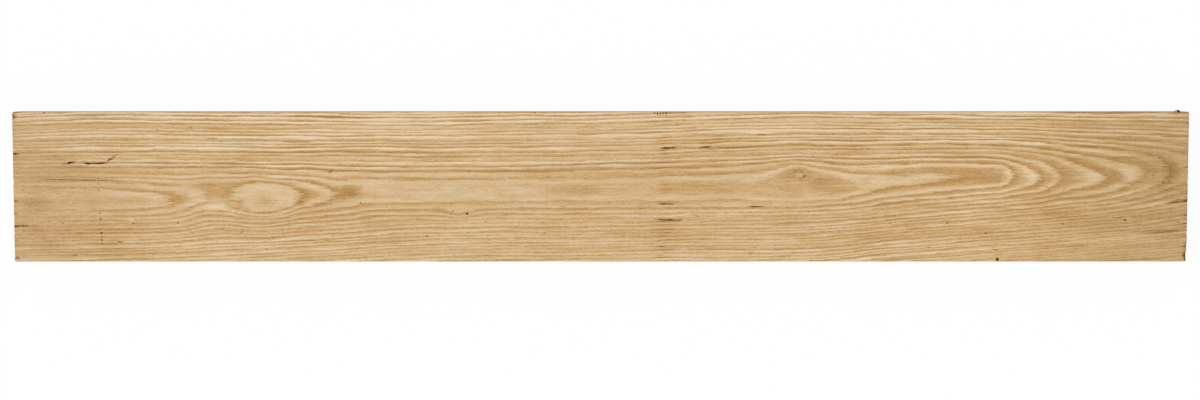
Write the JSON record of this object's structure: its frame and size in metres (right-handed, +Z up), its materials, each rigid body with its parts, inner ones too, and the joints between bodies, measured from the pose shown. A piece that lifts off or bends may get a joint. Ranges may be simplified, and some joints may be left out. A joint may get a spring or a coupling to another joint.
{
  "type": "timber plank",
  "caption": "Straight sawn plank of pale ring-porous timber with eased long edges, square-cut ends, small drying checks and a broken corner; flat stock for floors, shelves and decking.",
  "frame": {"origin": "middle of the underside, on the surface that the plank lies on", "axes": "+X along the length, +Y across the width, +Z up out of the show face"},
  "size_m": [1.83, 0.234, 0.038],
  "materials": {
    "wood": "planed bare wood, matt"
  },
  "bodies": {
    "root": {"plank": "wood"}
  },
  "joints": []
}
